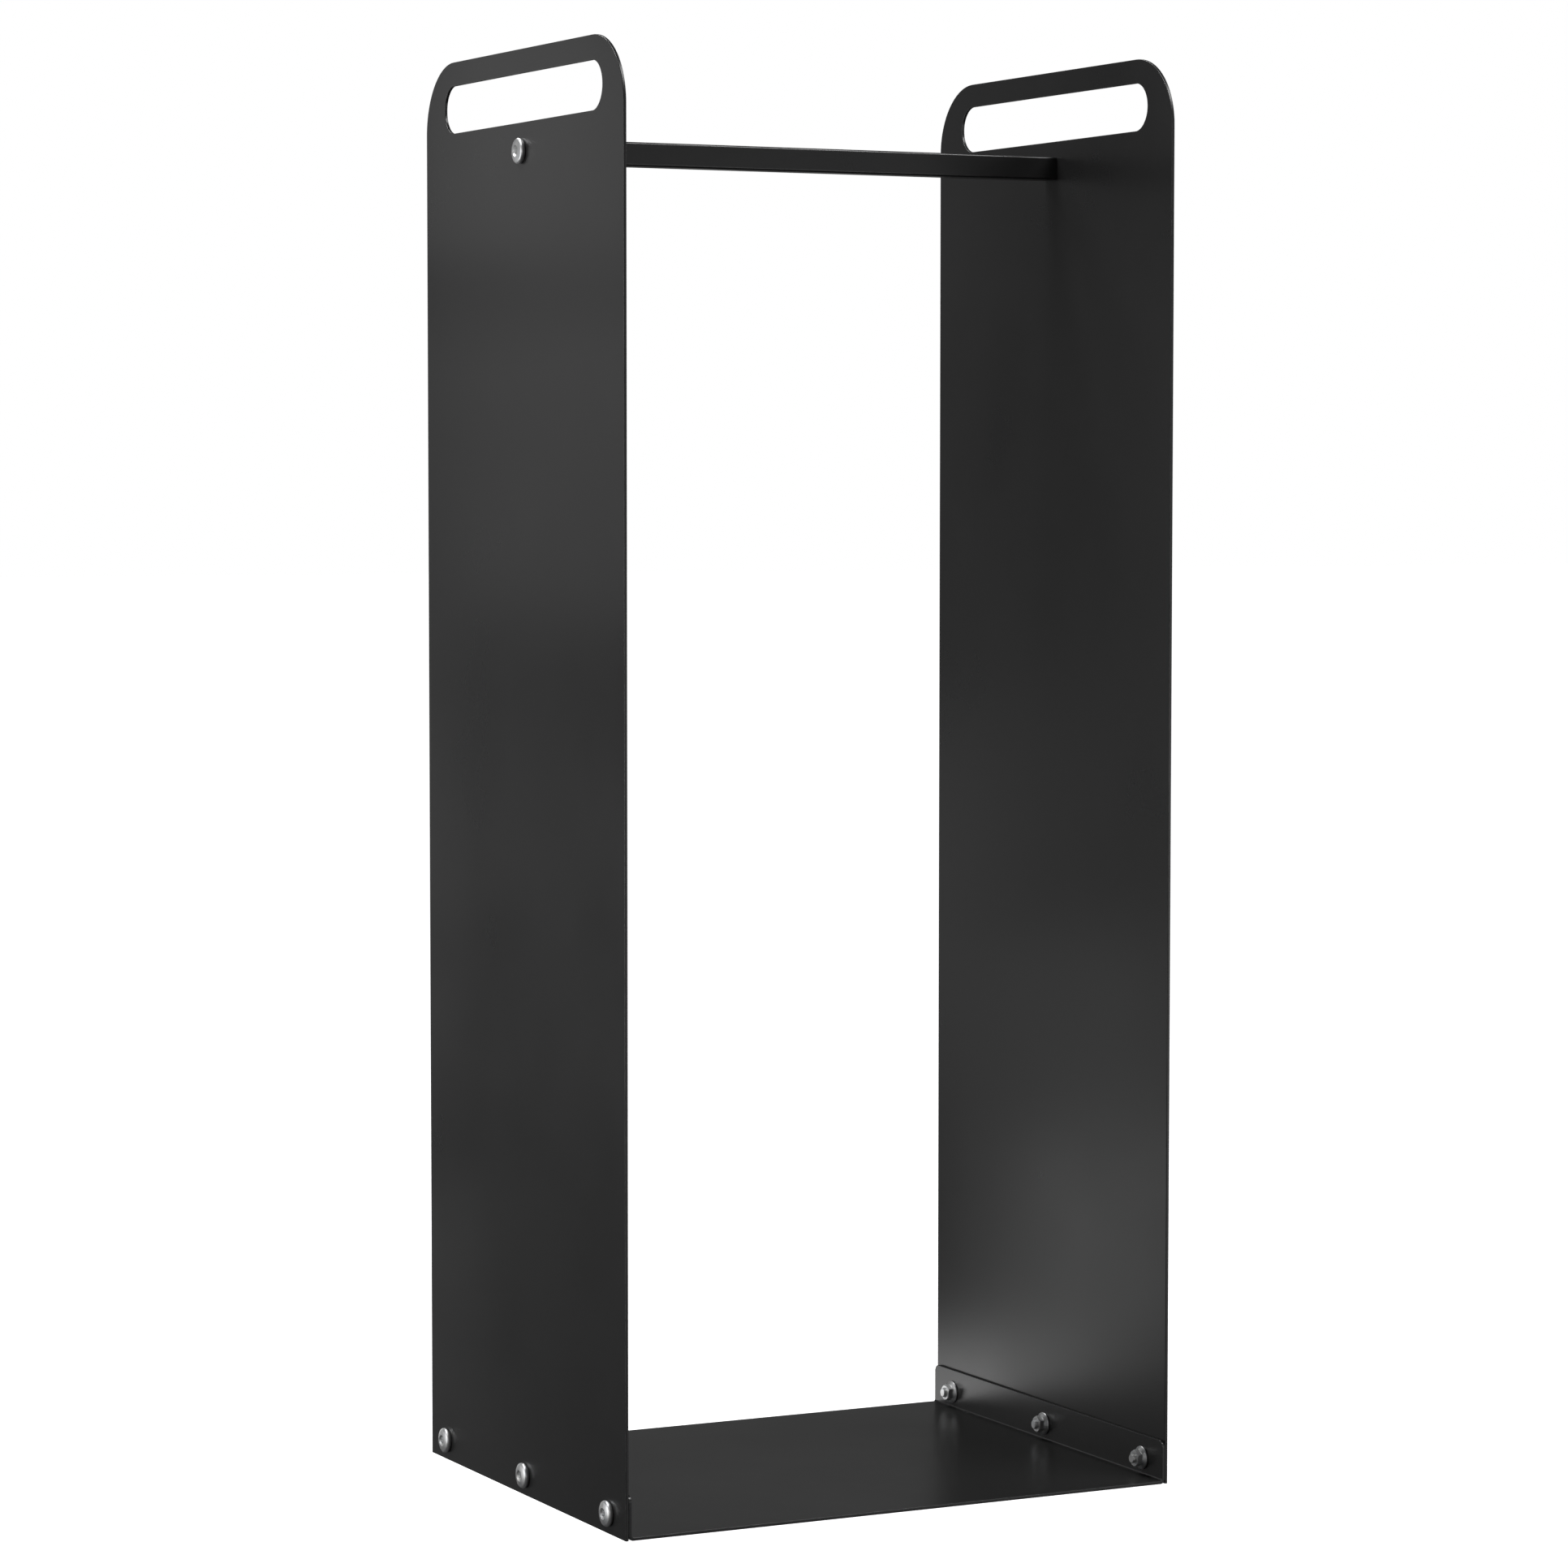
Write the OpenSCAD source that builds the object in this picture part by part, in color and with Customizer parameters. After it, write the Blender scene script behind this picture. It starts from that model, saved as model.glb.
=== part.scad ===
// Firewood log rack: two sheet-steel sides, a folded base tray and a square
// crossbar, held together by M6 bolts.
// Millimetres. X is the width, Y the depth (front at -Y), Z up from the floor.

/* [Rack] */
// Overall height
rack_h = 900; // [500:10:1400]
// Depth, front edge to back edge
rack_d = 300; // [240:5:450]
// Clear width between the two sides
bay_w = 375; // [200:5:700]

/* [Sheet metal] */
// Thickness of the side panels
panel_t = 2; // [1.5:0.1:4]
// Thickness of the base tray
tray_t = 2; // [1.5:0.1:3]
// Radius of the sides' top corners
corner_r = 44; // [10:1:60]
// Height of the tray's end flanges, from the floor
flange_h = 27.5; // [23:0.5:60]
// Radius of the flanges' top corners
flange_corner_r = 4.5; // [1:0.5:8]
// Inside radius of the tray's bends
bend_r = 1.2; // [0.5:0.1:1.5]

/* [Handle slots] */
// Margin from a slot's end to the side's front or back edge
slot_margin = 30; // [20:1:60]
// Height of a slot
slot_h = 30; // [20:1:36]
// Strip of sheet left above a slot
slot_drop = 15; // [10:0.5:16]

/* [Crossbar] */
// Outside width of the square tube
bar_size = 15; // [13:0.5:20]
// Wall of the tube
bar_wall = 1.2; // [0.8:0.1:2]
// Radius on the tube's long edges
bar_edge_r = 1.5; // [1:0.1:2]
// Depth of the bar's axis below the top edge
bar_drop = 62.5; // [62:0.5:150]
// Length of the threaded insert in each end of the tube
insert_l = 20; // [15:1:40]

/* [Bolts and nuts] */
// Thread diameter
thread_d = 6; // [5:0.1:7.2]
// Clearance of the holes in the sheets over the thread diameter
hole_gap = 0.6; // [0.2:0.1:1]
// Clearance of a threaded bore over the thread diameter
thread_gap = 0.1; // [0.05:0.05:0.2]
// Diameter of the bolt heads
head_d = 16; // [14:0.5:19]
// Height of the bolt heads
head_h = 4.2; // [3.8:0.1:5]
// Height of the widest line of a head above the sheet
head_rim_z = 1.5; // [1:0.1:1.8]
// Radius of a head's rounded rim
head_rim_r = 2.4; // [2:0.1:2.6]
// Radius of a head's crown
head_crown_r = 22; // [18:1:40]
// Width across flats of the hexagon socket
socket_af = 5; // [4:0.5:6]
// Depth of the hexagon socket
socket_depth = 2.6; // [2:0.1:2.8]
// Diameter of the chamfer round the socket's mouth
socket_mouth_d = 7.2; // [7:0.1:9]
// Length of a tray bolt past its nut
tip_l = 2; // [0:0.5:6]
// Length of a bar bolt in its insert
bar_bolt_reach = 14; // [8:1:15]
// Width across flats of the nuts
nut_af = 10; // [9:0.1:13]
// Height of the nuts
nut_h = 6; // [5:0.5:8]
// Diameter of the nuts' flanges
nut_flange_d = 15; // [13:0.1:15.4]
// Thickness of the nuts' flanges at the rim
nut_rim_t = 1.2; // [0.8:0.1:1.6]
// Height of the bolts in the tray's flanges above the floor
tray_bolt_z = 12.5; // [12:0.5:14]
// Distance of the outer tray bolts from the front and back edges
tray_bolt_inset = 25; // [12:1:60]

/* [Hidden] */
$fn = 96;
bore_cut = 1;                               // how far a cutter runs past a face
chamfer = 0.4;                              // on bolt ends and nut bores
nut_cone_h = 1.3;                           // rise of the nut flange's cone
nut_cone_top_d = nut_af + 0.8;              // where that cone meets the hexagon
nut_crown = 0.7;                            // how far the nut's corners are cut back
hole_d = thread_d + hole_gap;
bore_d = thread_d + thread_gap;
grip = panel_t + tray_t;                    // the two sheets that a tray bolt clamps
tray_bolt_l = grip + nut_h + tip_l;
bar_bolt_l = panel_t + bar_bolt_reach;
outer_x = bay_w / 2 + panel_t;              // outside face of the right panel
bar_z = rack_h - bar_drop;
bar_inner = bar_size - 2 * bar_wall;
bar_inner_r = max(bar_edge_r - bar_wall, 0.3);
insert_edge_r = bar_inner_r + 0.5;
slot_z = rack_h - slot_drop - slot_h / 2;
slot_run = rack_d / 2 - slot_margin - slot_h / 2;   // slot centre to end centre
front_y = -(rack_d / 2 - tray_bolt_inset);
middle_y = 0;
back_y = rack_d / 2 - tray_bolt_inset;
left = -1;
right = 1;

// Places its children on a side's outer face, local +Z pointing out of the rack.
module on_side(side, y, z) {
    translate([side * outer_x, y, z]) rotate([0, side * 90, 0]) children();
}

// Square with rounded corners, centred.
module rounded_square(size, r) {
    inner = size - 2 * r;
    square([size, inner], center = true);
    square([inner, size], center = true);
    for (x = [-1, 1], y = [-1, 1])
        translate([x * inner / 2, y * inner / 2]) circle(r = r);
}

// Upright rectangle on the X axis, its two top corners rounded.
module round_topped(w, h, r) {
    translate([-w / 2, 0]) square([w, h - r]);
    translate([-w / 2 + r, 0]) square([w - 2 * r, h]);
    for (x = [-1, 1])
        translate([x * (w / 2 - r), h - r]) circle(r = r);
}

// Side panel drawn flat: depth along X, height along Y.
module panel_outline() {
    difference() {
        round_topped(rack_d, rack_h, corner_r);
        translate([0, slot_z]) {
            square([2 * slot_run, slot_h], center = true);
            for (x = [-1, 1])
                translate([x * slot_run, 0]) circle(d = slot_h);
        }
        translate([0, bar_z]) circle(d = hole_d);
        for (y = [front_y, middle_y, back_y])
            translate([y, tray_bolt_z]) circle(d = hole_d);
    }
}

module side_panel(side) {
    inner_x = bay_w / 2;
    x0 = side > 0 ? inner_x : -inner_x - panel_t;
    color("#2b2b2b")
        translate([x0, 0, 0]) rotate([90, 0, 90])
            linear_extrude(height = panel_t) panel_outline();
}

// Half of the tray's cross-section: floor, bend and upright flange.
module tray_half_section() {
    r_out = bend_r + tray_t;
    x_bend = bay_w / 2 - r_out;
    square([x_bend, tray_t]);
    translate([bay_w / 2 - tray_t, r_out]) square([tray_t, flange_h - r_out]);
    intersection() {
        translate([x_bend, 0]) square(r_out);
        translate([x_bend, r_out]) difference() {
            circle(r = r_out);
            circle(r = bend_r);
        }
    }
}

module base_tray() {
    color("#262626") difference() {
        intersection() {
            rotate([90, 0, 0]) linear_extrude(height = rack_d, center = true) {
                tray_half_section();
                mirror([1, 0]) tray_half_section();
            }
            rotate([90, 0, 90]) linear_extrude(height = bay_w + 2 * bore_cut, center = true)
                round_topped(rack_d, flange_h, flange_corner_r);
        }
        for (side = [left, right], y = [front_y, middle_y, back_y])
            on_side(side, y, tray_bolt_z)
                translate([0, 0, -grip - bore_cut])
                    cylinder(d = hole_d, h = grip + bore_cut);
    }
}

module crossbar_tube() {
    color("#1c1c1c")
        translate([0, 0, bar_z]) rotate([90, 0, 90])
            linear_extrude(height = bay_w, center = true) difference() {
                rounded_square(bar_size, bar_edge_r);
                rounded_square(bar_inner, bar_inner_r);
            }
}

// Threaded block pressed into one end of the tube, flush with it.
module bar_insert(side) {
    color("silver")
        on_side(side, middle_y, bar_z) translate([0, 0, -panel_t - insert_l])
            difference() {
                linear_extrude(height = insert_l) rounded_square(bar_inner, insert_edge_r);
                translate([0, 0, -bore_cut]) cylinder(d = bore_d, h = insert_l + 2 * bore_cut);
            }
}

// Half section of a bolt head: a rounded rim under a shallow crown.
module head_section() {
    intersection() {
        union() {
            square([head_d / 2 - head_rim_r, head_h]);
            translate([head_d / 2 - head_rim_r, head_rim_z]) circle(r = head_rim_r);
        }
        translate([0, head_h - head_crown_r]) circle(r = head_crown_r);
        square([head_d / 2, head_h]);
    }
}

// Mushroom-head bolt: the head above Z = 0, the shank below it.
module bolt(shank_l) {
    r = thread_d / 2;
    mouth_r = socket_mouth_d / 2;
    socket_r = socket_af / 2 / cos(30);
    mouth_h = mouth_r - socket_af / 2;
    color("gainsboro") difference() {
        union() {
            rotate_extrude() head_section();
            rotate_extrude() polygon([
                [0, 0.5], [r, 0.5], [r, chamfer - shank_l], [r - chamfer, -shank_l], [0, -shank_l]
            ]);
        }
        translate([0, 0, head_h - socket_depth])
            cylinder(r = socket_r, h = socket_depth + bore_cut, $fn = 6);
        translate([0, 0, head_h - mouth_h]) rotate_extrude()
            polygon([[0, 0], [socket_af / 2, 0], [mouth_r + bore_cut, mouth_h + bore_cut],
                     [0, mouth_h + bore_cut]]);
    }
}

// Hexagon flange nut standing on Z = 0, flange down.
module flange_nut() {
    corner = nut_af / 2 / cos(30);
    flange_r = nut_flange_d / 2;
    bore_r = bore_d / 2;
    color("silver") difference() {
        union() {
            intersection() {
                cylinder(r = corner, h = nut_h, $fn = 6);
                rotate_extrude() polygon([
                    [0, 0], [corner, 0], [corner, nut_h - nut_crown],
                    [corner - 1.4 * nut_crown, nut_h], [0, nut_h]
                ]);
            }
            rotate_extrude() polygon([
                [0, 0], [flange_r, 0], [flange_r, nut_rim_t],
                [nut_cone_top_d / 2, nut_rim_t + nut_cone_h], [0, nut_rim_t + nut_cone_h]
            ]);
        }
        translate([0, 0, -bore_cut]) cylinder(r = bore_r, h = nut_h + 2 * bore_cut);
        for (z = [0, nut_h])
            translate([0, 0, z]) mirror([0, 0, z == 0 ? 1 : 0]) rotate_extrude()
                polygon([[0, -chamfer], [bore_r, -chamfer], [bore_r + chamfer + bore_cut, bore_cut],
                         [0, bore_cut]]);
    }
}

module bar_bolt(side) {
    on_side(side, middle_y, bar_z) bolt(bar_bolt_l);
}

module tray_bolt(side, y) {
    on_side(side, y, tray_bolt_z) bolt(tray_bolt_l);
}

module tray_nut(side, y) {
    on_side(side, y, tray_bolt_z) translate([0, 0, -grip]) mirror([0, 0, 1]) flange_nut();
}

side_panel(left);  // left_side_panel
side_panel(right);  // right_side_panel
base_tray();
crossbar_tube();
bar_insert(left);  // left_bar_insert
bar_insert(right);  // right_bar_insert
bar_bolt(left);  // left_bar_bolt
bar_bolt(right);  // right_bar_bolt
tray_bolt(left, front_y);  // left_front_bolt
tray_bolt(left, middle_y);  // left_middle_bolt
tray_bolt(left, back_y);  // left_back_bolt
tray_bolt(right, front_y);  // right_front_bolt
tray_bolt(right, middle_y);  // right_middle_bolt
tray_bolt(right, back_y);  // right_back_bolt
tray_nut(left, front_y);  // left_front_nut
tray_nut(left, middle_y);  // left_middle_nut
tray_nut(left, back_y);  // left_back_nut
tray_nut(right, front_y);  // right_front_nut
tray_nut(right, middle_y);  // right_middle_nut
tray_nut(right, back_y);  // right_back_nut
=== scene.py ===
"""Firewood log rack: its looks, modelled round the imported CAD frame.

Two powder-coated sheet sides, a folded base tray and a square crossbar, held by zinc-plated bolts.
Lengths are metres in the row frame: X is the width, Y the depth with the front at -Y, Z up.
"""

import logging
import math
from contextlib import contextmanager
from dataclasses import dataclass
from enum import Enum
from typing import Callable, Iterator, Sequence

import bmesh
import bpy
from mathutils import Euler, Matrix, Vector


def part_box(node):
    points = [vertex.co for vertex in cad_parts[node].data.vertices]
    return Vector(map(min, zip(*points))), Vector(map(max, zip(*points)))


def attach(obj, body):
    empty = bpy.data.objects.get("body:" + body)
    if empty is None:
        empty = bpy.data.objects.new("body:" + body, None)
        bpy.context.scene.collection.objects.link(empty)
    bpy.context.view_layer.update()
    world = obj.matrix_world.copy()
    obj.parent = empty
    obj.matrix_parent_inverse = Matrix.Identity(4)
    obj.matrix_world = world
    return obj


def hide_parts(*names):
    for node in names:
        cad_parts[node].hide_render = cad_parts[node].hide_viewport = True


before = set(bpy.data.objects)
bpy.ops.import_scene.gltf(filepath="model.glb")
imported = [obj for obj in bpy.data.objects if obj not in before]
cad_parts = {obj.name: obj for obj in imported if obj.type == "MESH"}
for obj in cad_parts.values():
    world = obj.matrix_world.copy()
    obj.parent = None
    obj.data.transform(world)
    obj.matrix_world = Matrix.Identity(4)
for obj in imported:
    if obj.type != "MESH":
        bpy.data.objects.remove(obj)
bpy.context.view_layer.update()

MM = 0.001
ROOT_BODY = "root"
WELD = 0.001 * MM  # vertices closer than this are one
OVERRUN = 1 * MM  # how far a cutting tool runs past a face
# the mask below places the coat's painted sheen, a lighter colour on the rounded edges
SHEEN_MASK_ATTRIBUTE = "rub"  # 1 on the rounded edges of a piece, 0 elsewhere
SHARP_ANGLE = math.radians(35)  # edges sharper than this are rounded
NORMAL_WEIGHT = 50  # how far large faces lead the shading of the roundings beside them
DRILL_SIDES = 32  # flat sides of a bolt hole
TOOL_STEPS = 64  # steps of a full turn on a turned tool
ROUND_STEPS = 96  # steps of a full turn on a turned head or flange
HEXAGON_TURN = math.pi / 6  # half of the angle between two corners of a hexagon

logging.basicConfig(level=logging.INFO, format="%(message)s")
log = logging.getLogger("log_rack")


class Side(Enum):
    """Which end of the rack a piece belongs to; the value points out of the rack along X."""

    LEFT = -1
    RIGHT = 1

    @property
    def label(self) -> str:
        """The word that node names start with."""
        return self.name.lower()


class Row(Enum):
    """Where along the depth a tray bolt sits."""

    FRONT = "front"
    MIDDLE = "middle"
    BACK = "back"


class Slot(Enum):
    """The record's material slots."""

    COAT = "black_powder_coat"
    ZINC = "zinc_plated_steel"


# ---------------------------------------------------------------- modelling helpers


def deselect_all() -> None:
    """Leaves no object selected."""
    bpy.ops.object.select_all(action="DESELECT")


def take(piece: bpy.types.Object) -> None:
    """Makes a piece the only selected object and the active one."""
    deselect_all()
    piece.select_set(True)
    bpy.context.view_layer.objects.active = piece


@contextmanager
def editing(piece: bpy.types.Object, kind: str = "VERT") -> Iterator[None]:
    """Opens a piece in edit mode with nothing selected, and closes it afterwards.

    Args:
        piece: The mesh object to edit.
        kind: What is selected there: VERT, EDGE or FACE.
    """
    take(piece)
    bpy.ops.object.mode_set(mode="EDIT")
    bpy.ops.mesh.select_mode(type=kind)
    bpy.ops.mesh.select_all(action="DESELECT")
    try:
        yield
    finally:
        bpy.ops.object.mode_set(mode="OBJECT")


def pick_vertices(piece: bpy.types.Object, test: Callable[[Vector], bool]) -> None:
    """Selects the vertices of the piece in edit mode whose place passes a test."""
    mesh = bmesh.from_edit_mesh(piece.data)
    for vertex in mesh.verts:
        vertex.select_set(test(vertex.co))
    mesh.select_flush_mode()
    bmesh.update_edit_mesh(piece.data)


def pick_edges(piece: bpy.types.Object, test: Callable[[Vector, Vector], bool]) -> None:
    """Selects the edges of the piece in edit mode whose two ends pass a test."""
    mesh = bmesh.from_edit_mesh(piece.data)
    for edge in mesh.edges:
        edge.select_set(test(edge.verts[0].co, edge.verts[1].co))
    mesh.select_flush_mode()
    bmesh.update_edit_mesh(piece.data)


def pick_faces(piece: bpy.types.Object, test: Callable[[Vector], bool]) -> None:
    """Selects the faces of the piece in edit mode whose normal passes a test."""
    mesh = bmesh.from_edit_mesh(piece.data)
    for face in mesh.faces:
        face.select_set(test(face.normal))
    mesh.select_flush_mode()
    bmesh.update_edit_mesh(piece.data)


def named(name: str) -> bpy.types.Object:
    """Names the newly added active object, settles its place in its mesh and returns it."""
    piece = bpy.context.view_layer.objects.active
    piece.name = name
    piece.data.name = name
    take(piece)
    bpy.ops.object.transform_apply(location=True, rotation=True, scale=True)
    return piece


def block(name: str, low: Vector, high: Vector) -> bpy.types.Object:
    """Adds a cuboid between two corners.

    Args:
        name: The object's name.
        low: Its lowest corner.
        high: Its highest corner.

    Returns:
        The new object.
    """
    deselect_all()
    bpy.ops.mesh.primitive_cube_add(size=1.0, location=(low + high) / 2, scale=high - low)
    return named(name)


def rod(name: str, centre: Vector, radius: float, length: float, sides: int) -> bpy.types.Object:
    """Adds a straight cylinder that lies along X.

    Args:
        name: The object's name.
        centre: Its middle.
        radius: Its radius.
        length: Its length along X.
        sides: How many flat sides approximate its round.

    Returns:
        The new object.
    """
    deselect_all()
    bpy.ops.mesh.primitive_cylinder_add(
        vertices=sides, radius=radius, depth=length, location=centre, rotation=(0, math.pi / 2, 0)
    )
    return named(name)


def modify(piece: bpy.types.Object, kind: str, **settings: object) -> None:
    """Adds a modifier to a piece with these settings, and applies it."""
    take(piece)
    modifier = piece.modifiers.new(kind.lower(), kind)
    for key, value in settings.items():
        setattr(modifier, key, value)
    bpy.ops.object.modifier_apply(modifier=modifier.name)


def combine(piece: bpy.types.Object, tool: bpy.types.Object, how: str) -> None:
    """Joins, cuts or intersects a piece with a tool, which is used up.

    Args:
        piece: The object that is kept.
        tool: The object that is removed afterwards.
        how: UNION, DIFFERENCE or INTERSECT.
    """
    modify(piece, "BOOLEAN", operation=how, solver="EXACT", object=tool)
    bpy.data.objects.remove(tool)


def tidy_mesh(piece: bpy.types.Object) -> None:
    """Merges doubled vertices and turns every face outwards."""
    with editing(piece):
        bpy.ops.mesh.select_all(action="SELECT")
        bpy.ops.mesh.remove_doubles(threshold=WELD)
        bpy.ops.mesh.normals_make_consistent(inside=False)


def soften(piece: bpy.types.Object, width: float, segments: int = 3) -> None:
    """Rounds every sharp edge of a piece and marks the rounding with a mask attribute, which
    places the coat's painted sheen.

    Args:
        piece: The object to finish.
        width: How far the rounding reaches into each face.
        segments: How many faces the rounding takes.
    """
    mesh = piece.data
    for _ in range(2):  # slot 0 for the faces and slot 1 for the rounding
        mesh.materials.append(None)
    modify(
        piece, "BEVEL", width=width, segments=segments, limit_method="ANGLE",
        angle_limit=SHARP_ANGLE, material=1, use_clamp_overlap=False,
    )
    rub = mesh.attributes.new(SHEEN_MASK_ATTRIBUTE, "FLOAT", "FACE")
    rub.data.foreach_set("value", [float(face.material_index) for face in mesh.polygons])
    mesh.polygons.foreach_set("material_index", [0] * len(mesh.polygons))
    mesh.materials.clear()
    take(piece)
    bpy.ops.object.shade_smooth()
    modify(piece, "WEIGHTED_NORMAL", weight=NORMAL_WEIGHT, keep_sharp=False)


def outline(name: str, points: Sequence[tuple[float, float]]) -> bpy.types.Object:
    """Draws an open line in the XZ plane by extruding one vertex from point to point.

    Args:
        name: The object's name.
        points: The line's points, as distance from the Z axis and height.

    Returns:
        The new object, which has edges and no faces.
    """
    deselect_all()
    bpy.ops.mesh.primitive_plane_add(size=MM)
    line = named(name)
    radius, height = points[0]
    with editing(line):
        pick_vertices(line, lambda co: co.x > 0 or co.y > 0)
        bpy.ops.mesh.delete(type="VERT")
        bpy.ops.mesh.select_all(action="SELECT")
        mesh = bmesh.from_edit_mesh(line.data)
        start = next(iter(mesh.verts)).co.copy()
        bpy.ops.transform.translate(value=Vector((radius, 0, height)) - start)
        for next_radius, next_height in points[1:]:
            step = (next_radius - radius, 0, next_height - height)
            bpy.ops.mesh.extrude_region_move(TRANSFORM_OT_translate={"value": step})
            radius, height = next_radius, next_height
    return line


def turned(
    name: str, points: Sequence[tuple[float, float]], steps: int = TOOL_STEPS
) -> bpy.types.Object:
    """Spins an outline round the Z axis into a closed solid, as on a lathe.

    Args:
        name: The object's name.
        points: The outline from axis to axis, as distance from the Z axis and height.
        steps: How many steps the full turn takes.

    Returns:
        The new object.
    """
    solid = outline(name, points)
    with editing(solid):
        bpy.ops.mesh.select_all(action="SELECT")
        bpy.ops.mesh.spin(steps=steps, angle=2 * math.pi, center=(0, 0, 0), axis=(0, 0, 1))
    tidy_mesh(solid)
    return solid


def arc(
    centre: tuple[float, float], radius: float, start: float, end: float, steps: int
) -> list[tuple[float, float]]:
    """Points along an arc in the XZ plane.

    Args:
        centre: The arc's centre, as distance from the Z axis and height.
        radius: The arc's radius.
        start: The first angle in radians, from the direction away from the axis.
        end: The last angle in radians.
        steps: How many steps the arc takes.

    Returns:
        steps + 1 points.
    """
    angles = [start + (end - start) * i / steps for i in range(steps + 1)]
    return [(centre[0] + radius * math.cos(a), centre[1] + radius * math.sin(a)) for a in angles]


# ---------------------------------------------------------------- finishes


def new_group(name: str, inputs: dict[str, float], outputs: dict[str, str]) -> bpy.types.NodeTree:
    """Makes an empty shader node group.

    Args:
        name: The group's name.
        inputs: Its number inputs with their defaults; a vector input, Place, comes first.
        outputs: Its outputs with their socket types.

    Returns:
        The node group, with its input and output nodes in it.
    """
    group = bpy.data.node_groups.new(name, "ShaderNodeTree")
    group.interface.new_socket("Place", in_out="INPUT", socket_type="NodeSocketVector")
    for label, default in inputs.items():
        socket = group.interface.new_socket(label, in_out="INPUT", socket_type="NodeSocketFloat")
        socket.default_value = default
    for label, kind in outputs.items():
        group.interface.new_socket(label, in_out="OUTPUT", socket_type=kind)
    group.nodes.new("NodeGroupInput")
    group.nodes.new("NodeGroupOutput")
    return group


@dataclass
class NodeBench:
    """A node tree with short calls to add and join its nodes."""

    tree: bpy.types.NodeTree

    def add(self, kind: str, **settings: object) -> bpy.types.Node:
        """Adds a node of a type, with these properties set."""
        node = self.tree.nodes.new(kind)
        for key, value in settings.items():
            setattr(node, key, value)
        return node

    def join(self, source: bpy.types.NodeSocket, target: bpy.types.NodeSocket) -> None:
        """Links one socket to another."""
        self.tree.links.new(source, target)

    def noise(
        self, place: bpy.types.NodeSocket, scale: bpy.types.NodeSocket | float,
        detail: float, roughness: float,
    ) -> bpy.types.NodeSocket:
        """Adds a noise texture.

        Args:
            place: The coordinates that it reads.
            scale: Its scale, as a number or a socket.
            detail: How many octaves it has.
            roughness: How strong the finer octaves are.

        Returns:
            Its factor output.
        """
        noise = self.add("ShaderNodeTexNoise")
        noise.inputs["Detail"].default_value = detail
        noise.inputs["Roughness"].default_value = roughness
        self.join(place, noise.inputs["Vector"])
        if isinstance(scale, bpy.types.NodeSocket):
            self.join(scale, noise.inputs["Scale"])
        else:
            noise.inputs["Scale"].default_value = scale
        return noise.outputs["Fac"]

    def ramp(
        self, value: bpy.types.NodeSocket, low: float, high: float, to_low: float, to_high: float
    ) -> bpy.types.NodeSocket:
        """Maps a range of values onto another, held at both ends.

        Args:
            value: The socket that is mapped.
            low: The value that gives to_low.
            high: The value that gives to_high.
            to_low: The result at and below low.
            to_high: The result at and above high.

        Returns:
            The mapped value's socket.
        """
        node = self.add("ShaderNodeMapRange", clamp=True)
        self.join(value, node.inputs["Value"])
        for label, number in zip(
            ("From Min", "From Max", "To Min", "To Max"), (low, high, to_low, to_high)
        ):
            node.inputs[label].default_value = number
        return node.outputs["Result"]

    def math(
        self, how: str, first: bpy.types.NodeSocket, second: bpy.types.NodeSocket | float
    ) -> bpy.types.NodeSocket:
        """Adds a math node on a socket and a second socket or number."""
        node = self.add("ShaderNodeMath", operation=how)
        self.join(first, node.inputs[0])
        if isinstance(second, bpy.types.NodeSocket):
            self.join(second, node.inputs[1])
        else:
            node.inputs[1].default_value = second
        return node.outputs[0]

    def blend(
        self, factor: bpy.types.NodeSocket, first: bpy.types.NodeSocket | Sequence[float],
        second: bpy.types.NodeSocket | Sequence[float],
    ) -> bpy.types.NodeSocket:
        """Mixes two colours by a factor.

        Args:
            factor: 0 for the first colour, 1 for the second.
            first: A socket or a plain colour.
            second: A socket or a plain colour.

        Returns:
            The mixed colour's socket.
        """
        node = self.add("ShaderNodeMix", data_type="RGBA", blend_type="MIX")
        # the node repeats its socket names for each data type, so they are taken by number
        self.join(factor, node.inputs[0])
        for colour, socket in ((first, node.inputs[6]), (second, node.inputs[7])):
            if isinstance(colour, bpy.types.NodeSocket):
                self.join(colour, socket)
            else:
                socket.default_value = (*colour, 1.0)
        return node.outputs[2]


def surface_grain() -> bpy.types.NodeTree:
    """The grain that both finishes share: a fine tooth over broad, slow mottling.

    Returns:
        The node group, with the outputs Height for bump and Mottle for colour and gloss.
    """
    known = bpy.data.node_groups.get("surface_grain")
    if known:
        return known
    group = new_group(
        "surface_grain",
        {"Tooth": 2500.0, "Wave": 350.0, "Cloud": 9.0, "Tooth Share": 0.5},
        {"Height": "NodeSocketFloat", "Mottle": "NodeSocketFloat"},
    )
    bench = NodeBench(group)
    given = group.nodes["Group Input"].outputs
    result = group.nodes["Group Output"].inputs
    tooth = bench.noise(given["Place"], given["Tooth"], detail=2.0, roughness=0.6)
    wave = bench.noise(given["Place"], given["Wave"], detail=1.0, roughness=0.5)
    cloud = bench.noise(given["Place"], given["Cloud"], detail=4.0, roughness=0.55)
    tooth_part = bench.math("MULTIPLY", tooth, given["Tooth Share"])
    bench.join(bench.math("ADD", wave, tooth_part), result["Height"])
    mottle = bench.ramp(cloud, low=0.3, high=0.7, to_low=0.0, to_high=1.0)
    bench.join(mottle, result["Mottle"])
    return group


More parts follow.
